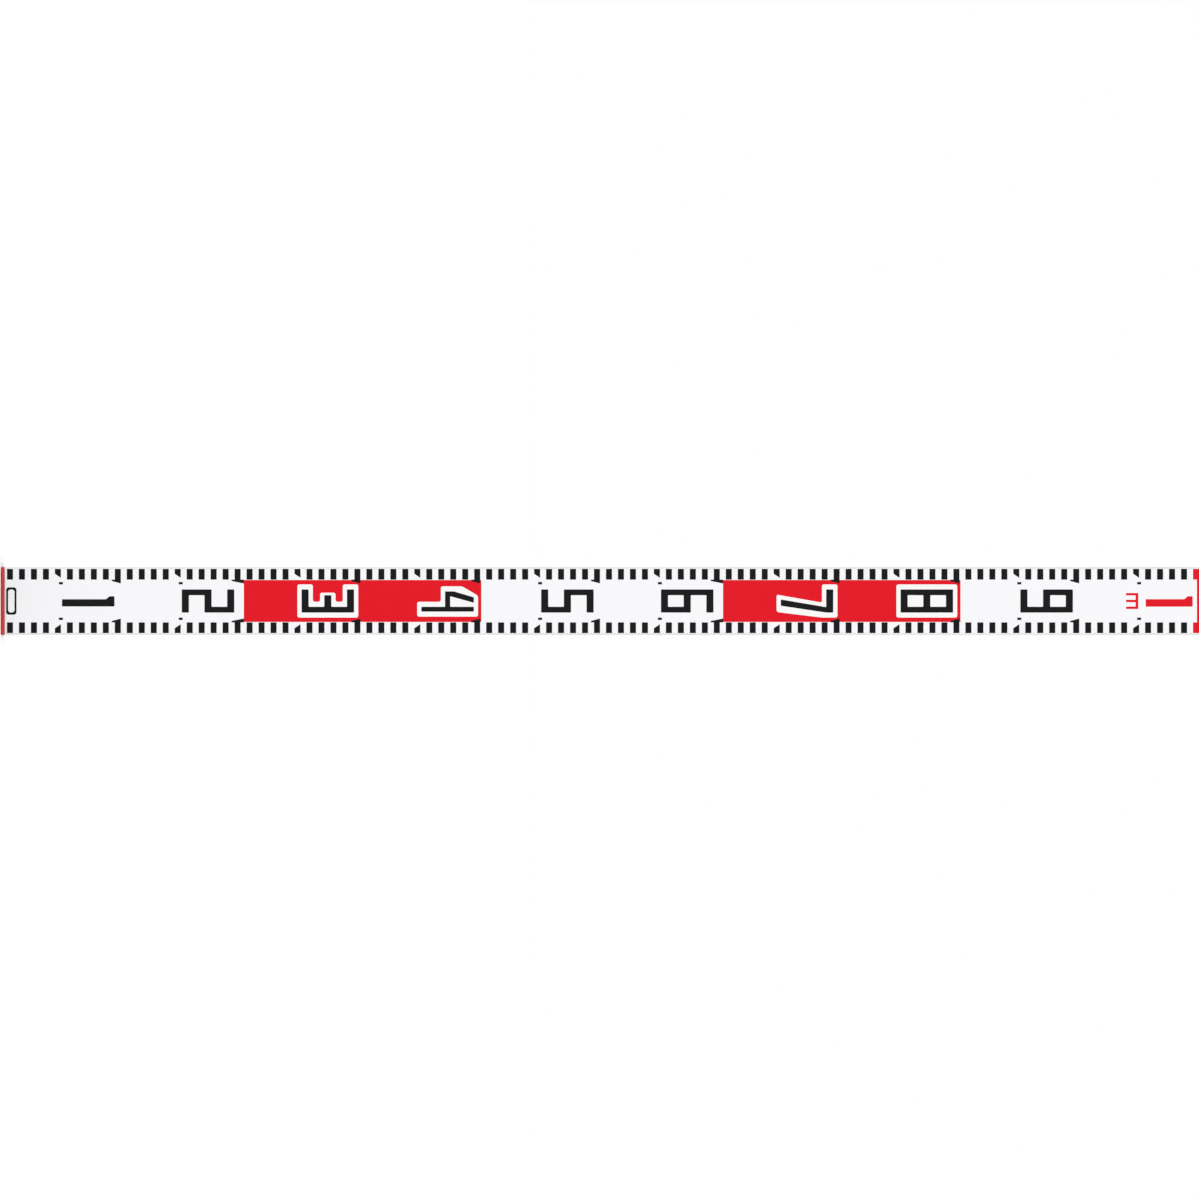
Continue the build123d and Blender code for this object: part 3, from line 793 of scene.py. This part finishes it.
class PrintLayer:
    """One ink on one film, drawn flat in millimetres and then raised and set on the film.

    Across the film is X, and the reading of the rod is Y.
    """

    def __init__(self, ink: Ink) -> None:
        """Starts an empty layer of one ink."""
        self.ink = ink
        self.sheet = bmesh.new()

    def rectangle(self, across: Span, along: Span) -> None:
        """Adds a rectangle.

        Args:
            across: its two edges across the film.
            along: its two edges along the film.
        """
        middle = Matrix.Translation((sum(across) / 2, sum(along) / 2, 0))
        size = Matrix.Diagonal((abs(across[1] - across[0]), abs(along[1] - along[0]), 1, 1))
        place = middle @ size
        bmesh.ops.create_grid(self.sheet, x_segments=1, y_segments=1, size=0.5, matrix=place)

    def shape(self, loops: list[Outline], foot: Point = (0, 0), rounding_mm: float = 0.0) -> None:
        """Adds a shape from its outline and holes.

        Args:
            loops: the outline, then the holes.
            foot: where the outline's own origin comes to lie.
            rounding_mm: how far its corners are rounded.
        """
        corners = []
        for loop in loops:
            ring = [self.sheet.verts.new((foot[0] + x, foot[1] + y, 0)) for x, y in loop]
            for start, end in zip(ring, ring[1:] + ring[:1]):
                self.sheet.edges.new((start, end))
            corners += ring
        if rounding_mm:
            bmesh.ops.bevel(
                self.sheet,
                geom=corners,
                offset=rounding_mm,
                segments=ROUNDING_SEGMENTS,
                profile=0.5,
                affect="VERTICES",
                material=-1,
                clamp_overlap=True,
            )
        wires = [edge for edge in self.sheet.edges if edge.is_wire]
        bmesh.ops.triangle_fill(self.sheet, use_beauty=True, edges=wires)

    def finish(self, name: str, reading: Span, place: Matrix) -> bpy.types.Object | None:
        """Trims the layer to its film, raises it and makes it an object.

        Args:
            name: name of the new object.
            reading: lowest and highest reading on the film.
            place: from the layer's millimetres to the rod.

        Returns:
            The object, or None if nothing of this ink is on the film.
        """
        sheet = self.sheet
        low, high = reading
        for height, upward in ((low, 1), (high, -1)):
            bmesh.ops.bisect_plane(
                sheet,
                geom=sheet.verts[:] + sheet.edges[:] + sheet.faces[:],
                plane_co=(0, height, 0),
                plane_no=(0, upward, 0),
                clear_inner=True,
            )
        if not sheet.faces:
            sheet.free()
            return None
        bmesh.ops.remove_doubles(sheet, verts=sheet.verts, dist=MERGE_MM)
        faces = sheet.faces[:]
        raised = bmesh.ops.extrude_face_region(sheet, geom=faces, use_keep_orig=True)["geom"]
        tops = [item for item in raised if isinstance(item, bmesh.types.BMVert)]
        bmesh.ops.translate(sheet, verts=tops, vec=(0, 0, self.ink.height_mm))
        bmesh.ops.recalc_face_normals(sheet, faces=sheet.faces)
        bmesh.ops.transform(sheet, matrix=place, verts=sheet.verts)
        return add_piece(name, sheet)


@dataclass(frozen=True)
class Graduation:
    """How a scale film is printed, with the sizes across the film given for the widest one.

    Attributes:
        full_width_mm: width of the film that the sizes across are given for.
        band_mm: width of the middle band, which holds the fields and figures.
        block_mm: length of a centimetre block in from the film's edge.
        block_share: share of a centimetre that its block fills, up to the mark.
        wedge_long_mm: length along the rod of the wedge on a decimetre block.
        wedge_deep_mm: how far that wedge reaches into the band at its blunt tip and at its mark.
        point_mm: short and long side of the pointed block at each odd five centimetres.
        dash_gap_mm: gap between the row of blocks and the dash beside a pointed block.
        dash_mm: size of that dash across and along the film.
        field_mm: length of a red or white field.
        field_start_mm: how far above its mark a red field begins.
        field_end_mm: how far above its last mark a red field ends.
        figure: style of the decimetre figures.
        figure_rounding_mm: how far the corners of all figures but the zero are rounded.
        figure_drop_mm: gap between a figure's top and its mark.
        halo_mm: width of the white edge round a figure on red, across and along the film.
        halo_rounding_mm: how far the corners of that edge are rounded.
        metre_figure: style of the metre figures.
        metre_unit: style of the unit under a metre figure.
        unit_gap_mm: gap between the metre figure and its unit.
        metre_line_mm: lower and upper edge of the line across at a metre mark, from the mark.
        zero: style of the flat figure at zero.
        zero_foot_mm: height of that figure's foot.
        zero_rounding_mm: how far its corners are rounded.
    """

    full_width_mm: float = 53.5
    band_mm: float = 35.0
    block_mm: float = 8.9
    block_share: float = 0.5
    wedge_long_mm: float = 7.5
    wedge_deep_mm: tuple[float, float] = (1.2, 3.2)
    point_mm: tuple[float, float] = (4.0, 7.4)
    dash_gap_mm: float = 2.0
    dash_mm: tuple[float, float] = (2.0, 3.3)
    field_mm: float = 200.0
    field_start_mm: float = 2.7
    field_end_mm: float = 0.9
    figure: FigureStyle = FigureStyle(19.3, 43.8, stem_mm=4.8, bar_mm=5.9, slim_mm=0.8)
    figure_rounding_mm: float = 0.6
    figure_drop_mm: float = 5.3
    halo_mm: tuple[float, float] = (4.2, 3.5)
    halo_rounding_mm: float = 1.7
    metre_figure: FigureStyle = FigureStyle(19.3, 39.2, stem_mm=5.0, bar_mm=5.8, slim_mm=0.8)
    metre_unit: FigureStyle = FigureStyle(13.3, 10.2, stem_mm=2.0, bar_mm=2.2)
    unit_gap_mm: float = 6.2
    metre_line_mm: Span = (-1.7, 2.7)
    zero: FigureStyle = FigureStyle(22.8, 8.6, stem_mm=1.8, bar_mm=1.6)
    zero_foot_mm: float = 4.3
    zero_rounding_mm: float = 2.2


# Steps of the graduation, in millimetres
CENTIMETRE, FIVE_CENTIMETRES, DECIMETRE, METRE = 10, 50, 100, 1000


class ScaleFilm:
    """The printed face of one section: its film, read from the frame, and the inks on it."""

    def __init__(self, section: int, lift_mm: float, graduation: Graduation) -> None:
        """Measures the film.

        Args:
            section: number of the section, from 1 at the foot.
            lift_mm: how far the section stands above its closed place when the rod is fully out.
            graduation: how the film is printed.
        """
        low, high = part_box(f"scale_film_{section}")
        self.section = section
        self.style = graduation
        self.lift_mm = lift_mm
        self.front = low.y
        self.half_mm = (high.x - low.x) / 2 / MM
        self.reading = (low.z / MM + lift_mm, high.z / MM + lift_mm)
        self.share = 2 * self.half_mm / graduation.full_width_mm
        self.half_band_mm = graduation.band_mm / 2 * self.share
        self.block_mm = graduation.block_mm * self.share
        self.layers = {ink: PrintLayer(ink) for ink in Ink}

    def is_red(self, reading: float) -> bool:
        """Whether the field just above a reading is a red one."""
        return int(reading // self.style.field_mm) % 2 == 1

    def is_red_below(self, mark: int) -> bool:
        """Whether the field just below a mark is a red one."""
        return self.is_red(mark - 1)

    def marks(self, step: int) -> range:
        """Multiples of a step whose prints may reach onto the film."""
        low, high = self.reading
        return range(max(0, int(low) // step * step), int(high) + 2 * step, step)

    def block_foot(self, mark: int) -> float:
        """Reading at the lower edge of the block that ends at a mark."""
        return mark - CENTIMETRE * self.style.block_share

    def print_fields(self) -> None:
        """Prints the red fields."""
        style = self.style
        across = (-self.half_band_mm, self.half_band_mm)
        for start in self.marks(int(style.field_mm)):
            if self.is_red(start):
                end = start + style.field_mm + style.field_end_mm
                self.layers[Ink.RED].rectangle(across, (start + style.field_start_mm, end))

    def print_metre_marks(self) -> None:
        """Prints a red line right across at each metre mark, with a red block under each end."""
        below, above = self.style.metre_line_mm
        edge = self.half_mm
        for mark in self.marks(METRE):
            if mark:
                row, under = edge - self.block_mm, mark + below
                if self.is_red_below(mark):
                    # A red field ends here: the blocks reach in to it, and the line lies on it
                    row, under = self.half_band_mm, mark + self.style.field_end_mm
                foot, top = self.block_foot(mark), mark + above
                left = [(-edge, foot), (-row, foot), (-row, under)]
                right = [(row, under), (row, foot), (edge, foot)]
                self.layers[Ink.RED].shape([left + right + [(edge, top), (-edge, top)]])

    def print_blocks(self) -> None:
        """Prints the rows of black centimetre blocks along both edges of the film."""
        for mark in self.marks(CENTIMETRE)[1:]:
            for side in SIDES:
                if mark % FIVE_CENTIMETRES:
                    self.print_plain_block(mark, side)
                elif mark % DECIMETRE:
                    self.print_pointed_block(mark, side)
                elif mark % METRE:
                    self.print_wedged_block(mark, side)

    def print_plain_block(self, mark: int, side: int) -> None:
        """Prints the block of one centimetre.

        Args:
            mark: reading at its upper edge.
            side: edge of the film that it starts from, -1 or 1.
        """
        edge = side * self.half_mm
        across = (edge, edge - side * self.block_mm)
        self.layers[Ink.BLACK].rectangle(across, (self.block_foot(mark), mark))

    def print_pointed_block(self, mark: int, side: int) -> None:
        """Prints the pointed block at odd five centimetres, and on white the dash beside it.

        Args:
            mark: reading at its upper edge.
            side: edge of the film that it starts from, -1 or 1.
        """
        style, black = self.style, self.layers[Ink.BLACK]
        edge, foot = side * self.half_mm, self.block_foot(mark)
        short, long = (side_mm * self.share for side_mm in style.point_mm)
        point = [(edge - side * long, mark), (edge - side * short, foot)]
        black.shape([[(edge, foot), (edge, mark)] + point])
        if not self.is_red(mark):
            across, along = style.dash_mm
            dash = edge - side * (self.block_mm + style.dash_gap_mm * self.share)
            ends = (dash, dash - side * across * self.share)
            black.rectangle(ends, (mark - along / 2, mark + along / 2))

    def print_wedged_block(self, mark: int, side: int) -> None:
        """Prints the block at a decimetre, with the wedge that points out its mark.

        Args:
            mark: reading at its upper edge.
            side: edge of the film that it starts from, -1 or 1.
        """
        style = self.style
        self.print_plain_block(mark, side)
        row = side * self.half_mm - side * self.block_mm
        thin, thick = (depth_mm * self.share for depth_mm in style.wedge_deep_mm)
        red_starts = self.is_red(mark) and not self.is_red_below(mark)
        tip, end = mark - style.wedge_long_mm, mark + (style.field_start_mm if red_starts else 0)
        slope = [(row - side * thick, end), (row - side * thin, tip)]
        self.layers[Ink.BLACK].shape([[(row, tip), (row, end)] + slope])

    def print_figures(self) -> None:
        """Prints the zero, and the decimetre and metre figures under their marks."""
        style = self.style
        for mark in self.marks(DECIMETRE):
            if mark == 0:
                zero = style.zero.narrowed(self.share).outlines("0")
                foot = (0, style.zero_foot_mm)
                self.layers[Ink.BLACK].shape(zero, foot, style.zero_rounding_mm)
            elif mark % METRE:
                self.print_decimetre(mark)
            else:
                self.print_metre(mark)

    def print_decimetre(self, mark: int) -> None:
        """Prints the figure of a decimetre, with a white edge round it on red.

        Args:
            mark: reading that the figure stands under.
        """
        style = self.style
        digit = str(mark % METRE // DECIMETRE)
        figure = style.figure.narrowed(self.share)
        foot = mark - style.figure_drop_mm - figure.height_mm
        loops = figure.outlines(digit)
        self.layers[Ink.BLACK].shape(loops, (0, foot), style.figure_rounding_mm)
        if self.is_red_below(mark):
            across, along = style.halo_mm
            halo = figure.grown(across * self.share, along).outlines(digit, filled=True)
            self.layers[Ink.WHITE].shape(halo, (0, foot - along), style.halo_rounding_mm)

    def print_metre(self, mark: int) -> None:
        """Prints the figure of a metre with its unit, red on white or white on red.

        Args:
            mark: reading that the figure stands under.
        """
        style = self.style
        layer = self.layers[Ink.WHITE if self.is_red_below(mark) else Ink.RED]
        figure = style.metre_figure.narrowed(self.share)
        unit = style.metre_unit.narrowed(self.share)
        foot = mark - style.figure_drop_mm - figure.height_mm
        unit_foot = foot - style.unit_gap_mm - unit.height_mm
        loops = figure.outlines(str(mark // METRE))
        layer.shape(loops, (0, foot), style.figure_rounding_mm)
        layer.shape(unit.outlines("m"), (0, unit_foot))

    def build(self, shelf: FinishShelf, body: str) -> None:
        """Prints the film and lets the prints ride with their section.

        Args:
            shelf: where the inks' materials come from.
            body: body that the film belongs to.
        """
        self.print_fields()
        self.print_metre_marks()
        self.print_blocks()
        self.print_figures()
        across, outwards = (MM, 0, 0, 0), (0, 0, -MM, self.front)
        upwards = (0, MM, 0, -self.lift_mm * MM)
        place = Matrix((across, outwards, upwards, (0, 0, 0, 1)))
        for ink, layer in self.layers.items():
            piece = layer.finish(f"{ink.value}_print_{self.section}", self.reading, place)
            if piece is not None:
                shelf.dress(piece, ink.finish)
                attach(piece, body)
                LOG.info("%s rides on %s, %d faces", piece.name, body, len(piece.data.polygons))


@dataclass(frozen=True)
class LeafSpring:
    """A strip folded like a hairpin: one leg sits on the collar, the other lifts a thumb pad.

    It is drawn flat along the collar's back, with X across, Y up the rod and Z out of the back.

    Attributes:
        strip_mm: thickness of the strip.
        fold_mm: radius of the fold at the middle of the strip.
        tip_mm: height of the free leg's tip above the foot of the seated leg.
        hole_mm: radius of the hole for the collar's peg, and its height above the foot.
        hole_steps: number of flats that the hole is made of.
        fold_steps: number of flats that the fold is made of.
        leaf_steps: number of short lengths that the free leg is cut into.
    """

    strip_mm: float = 0.4
    fold_mm: float = 0.3
    tip_mm: float = 1.2
    hole_mm: tuple[float, float] = (0.95, 4.1)
    hole_steps: int = 24
    fold_steps: int = 8
    leaf_steps: int = 12

    def strip(self, half_mm: float, rise_mm: float, reach_mm: float) -> bmesh.types.BMesh:
        """Bends the strip from its blank.

        Args:
            half_mm: half of the strip's width.
            rise_mm: height at which the fold starts.
            reach_mm: how far the free leg's tip stands out from the seated leg.

        Returns:
            The middle surface of the strip, in millimetres.
        """
        sheet = bmesh.new()
        radius, height = self.hole_mm
        hole = Matrix.Translation((0, height, 0))
        bmesh.ops.create_circle(sheet, segments=self.hole_steps, radius=radius, matrix=hole)
        corners = [(-half_mm, 0), (half_mm, 0), (half_mm, rise_mm), (-half_mm, rise_mm)]
        ring = [sheet.verts.new((x, y, 0)) for x, y in corners]
        _, _, fold_line, _ = [sheet.edges.new(pair) for pair in zip(ring, ring[1:] + ring[:1])]
        bmesh.ops.triangle_fill(sheet, use_beauty=True, edges=sheet.edges[:])
        turned = bmesh.ops.spin(
            sheet,
            geom=[fold_line],
            cent=(0, rise_mm, self.fold_mm),
            axis=(1, 0, 0),
            angle=pi,
            steps=self.fold_steps,
        )
        ends = [item for item in turned["geom_last"] if isinstance(item, bmesh.types.BMEdge)]
        leaf = bmesh.ops.extrude_edge_only(sheet, edges=ends)["geom"]
        tips = [item for item in leaf if isinstance(item, bmesh.types.BMVert)]
        run = (0, self.tip_mm - rise_mm, reach_mm - 2 * self.fold_mm)
        bmesh.ops.translate(sheet, verts=tips, vec=run)
        edges = [edge for vert in tips for edge in vert.link_edges]
        long_edges = [edge for edge in edges if not all(vert in tips for vert in edge.verts)]
        cuts = self.leaf_steps - 1
        bmesh.ops.subdivide_edges(sheet, edges=long_edges, cuts=cuts, use_grid_fill=True)
        bmesh.ops.recalc_face_normals(sheet, faces=sheet.faces)
        return sheet

    def build(self, node: str, bodies: tuple[str, str], shelf: FinishShelf) -> None:
        """Builds the spring in its node's place.

        Args:
            node: name of the spring's node.
            bodies: the section that the spring sits on, and the latch that it lifts.
            shelf: where its material comes from.
        """
        low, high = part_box(node)
        half_strip = self.strip_mm * MM / 2
        seat, tip = low.y + half_strip, high.y - half_strip
        rise_mm = (high.z - low.z - half_strip) / MM - self.fold_mm
        sheet = self.strip((high.x - low.x) / 2 / MM, rise_mm, (tip - seat) / MM)
        place = Matrix(((-MM, 0, 0, 0), (0, 0, MM, seat), (0, MM, 0, low.z), (0, 0, 0, 1)))
        bmesh.ops.transform(sheet, matrix=place, verts=sheet.verts)
        piece = add_piece(node.replace("latch_spring", "leaf_spring"), sheet)
        wall = piece.modifiers.new("strip", "SOLIDIFY")
        wall.thickness = self.strip_mm * MM
        wall.offset = 0.0
        shelf.dress(piece, SPRING_STEEL)
        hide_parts(node)
        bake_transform(piece)
        LOG.info("%s bends between %s and %s", piece.name, *bodies)


class Rod:
    """The whole rod: the frame's nodes with their finishes, the printed films and the springs."""

    def __init__(self, frame: dict, graduation: Graduation) -> None:
        """Keeps the frame and works out how far each section comes out.

        Args:
            graduation: how the films are printed.
        """
        self.frame = frame
        self.graduation = graduation
        self.shelf = FinishShelf()
        slides = [joint for joint in frame["joints"] if "range_m" in joint]
        self.strokes_mm = {slide["child"]: slide["range_m"][1] / MM for slide in slides}

    def dress_nodes(self) -> None:
        """Gives every node of the frame its finish."""
        for name, node in self.frame["nodes"].items():
            kind = name.rstrip("_" + digits)
            self.shelf.dress(node, NODE_FINISHES[kind])
            LOG.info("%s is %s", name, NODE_FINISHES[kind].name)

    def print_films(self) -> None:
        """Prints every film so that the readings run on when the rod is fully out."""
        lift_mm = 0.0
        films = [name for name in self.frame["nodes"] if name.startswith("scale_film_")]
        for section, film in enumerate(sorted(films), start=1):
            body = self.frame["nodes"][film]["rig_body"]
            lift_mm += self.strokes_mm.get(body, 0.0)
            ScaleFilm(section, lift_mm, self.graduation).build(self.shelf, body)

    def fit_springs(self) -> None:
        """Fits a spring under every latch."""
        for joint in self.frame["joints"]:
            latch = joint["child"]
            if latch.startswith("latch_"):
                node = latch.replace("latch_", "latch_spring_")
                LeafSpring().build(node, (joint["parent"], latch), self.shelf)


@dataclass(frozen=True)
class Lamp:
    """A distant softbox.

    Attributes:
        name: the lamp's name.
        towards: direction from the rod to the lamp.
        power: irradiance that it gives on a face turned to it.
        spread: angle that it fills, in radians.
    """

    name: str
    towards: tuple[float, float, float]
    power: float
    spread: float

    def build(self) -> None:
        """Adds the lamp to the scene."""
        data = bpy.data.lights.new(self.name, "SUN")
        data.energy = self.power
        data.angle = self.spread
        lamp = bpy.data.objects.new(self.name, data)
        lamp.rotation_mode = "QUATERNION"
        lamp.rotation_quaternion = Vector(self.towards).to_track_quat("Z", "Y")
        bpy.context.scene.collection.objects.link(lamp)


@dataclass(frozen=True)
class Studio:
    """A white studio, seen through a long lens laid on its side.

    Attributes:
        photo_px: side of the square photograph.
        zero_px: column of the rod's zero.
        middle_px: row of the rod's middle line.
        px_per_mm: scale of the photograph on the printed face.
        lens_mm: focal length.
        sensor_mm: width of the sensor.
        sight: how far the camera sees.
        floor_radius: radius of the floor.
        floor_steps: number of flats round its rim.
        floor_drop: gap under the foot, which keeps the two faces apart.
        floor_colour: sRGB hex colour of the floor.
        floor_roughness: roughness of the floor.
        floor_gloss: specular level of the floor.
        ground: brightness of the white behind the rod.
        sky: light from all round.
        lamps: the softboxes.
    """

    photo_px: float = 1199.0
    zero_px: float = 1.0
    middle_px: float = 601.0
    px_per_mm: float = 1.198
    lens_mm: float = 200.0
    sensor_mm: float = 36.0
    sight: float = 200.0
    floor_radius: float = 40.0
    floor_steps: int = 96
    floor_drop: float = 0.0002
    floor_colour: str = "#F4F4F4"
    floor_roughness: float = 0.9
    floor_gloss: float = 0.1
    ground: float = 1.0
    sky: float = 0.4
    lamps: tuple[Lamp, ...] = (
        Lamp("front_softbox", (-0.12, -1.0, 0.35), 1.19, 0.9),
        Lamp("rear_softbox", (0.15, 1.0, 0.8), 0.8, 0.6),
        Lamp("top_softbox", (0.0, 0.0, 1.0), 1.65, 1.2),
    )

    def build_camera(self, face: float) -> None:
        """Sets the camera square to the printed face, with the rod lying along the picture.

        Args:
            face: where the printed face is along Y.
        """
        data = bpy.data.cameras.new("camera")
        data.lens = self.lens_mm
        data.sensor_width = self.sensor_mm
        data.clip_end = self.sight
        frame_width = self.photo_px / self.px_per_mm * MM
        distance = frame_width * self.lens_mm / self.sensor_mm
        height = (self.photo_px / 2 - self.zero_px) / self.px_per_mm * MM
        aside = (self.photo_px / 2 - self.middle_px) / self.px_per_mm * MM
        camera = bpy.data.objects.new("camera", data)
        across, away = (0, -1, 0, aside), (0, 0, -1, face - distance)
        camera.matrix_world = Matrix((across, away, (1, 0, 0, height), (0, 0, 0, 1)))
        bpy.context.scene.collection.objects.link(camera)
        bpy.context.scene.camera = camera

    def build_floor(self) -> None:
        """Lays a large pale disc under the foot."""
        sheet = bmesh.new()
        bmesh.ops.create_circle(
            sheet,
            cap_ends=True,
            segments=self.floor_steps,
            radius=self.floor_radius,
            matrix=Matrix.Translation((0, 0, -self.floor_drop)),
        )
        floor = add_piece("studio_floor", sheet)
        material = bpy.data.materials.new("pale_matt_floor")
        material.use_nodes = True
        shader = material.node_tree.nodes["Principled BSDF"]
        shader.inputs["Base Color"].default_value = linear(self.floor_colour)
        shader.inputs["Roughness"].default_value = self.floor_roughness
        shader.inputs["Specular IOR Level"].default_value = self.floor_gloss
        floor.data.materials.append(material)

    def build_sky(self) -> None:
        """Makes a white ground for the picture and an even light from all round."""
        world = bpy.data.worlds.new("white_studio")
        world.use_nodes = True
        tree = world.node_tree
        tree.nodes.clear()
        white = {"Color": linear("#FFFFFF")}
        seen = add_node(tree, "ShaderNodeBackground", {**white, "Strength": self.ground})
        light = add_node(tree, "ShaderNodeBackground", {**white, "Strength": self.sky})
        is_seen = add_node(tree, "ShaderNodeLightPath").outputs["Is Camera Ray"]
        choice = {0: is_seen, 1: light.outputs[0], 2: seen.outputs[0]}
        mixed = add_node(tree, "ShaderNodeMixShader", choice)
        add_node(tree, "ShaderNodeOutputWorld", {"Surface": mixed.outputs[0]})
        bpy.context.scene.world = world

    def build(self, face: float) -> None:
        """Builds camera, floor, sky and lamps.

        Args:
            face: where the printed face is along Y.
        """
        self.build_camera(face)
        self.build_floor()
        self.build_sky()
        for lamp in self.lamps:
            lamp.build()
        bpy.context.scene.view_settings.view_transform = "Standard"


def main() -> None:
    """Builds the rod around its frame, then the studio."""
    logging.basicConfig(level=logging.INFO, format="%(name)s: %(message)s")
    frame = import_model()
    rod = Rod(frame, Graduation())
    rod.dress_nodes()
    rod.print_films()
    rod.fit_springs()
    Studio().build(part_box("scale_film_1")[0].y)


if __name__ == "__main__":
    main()
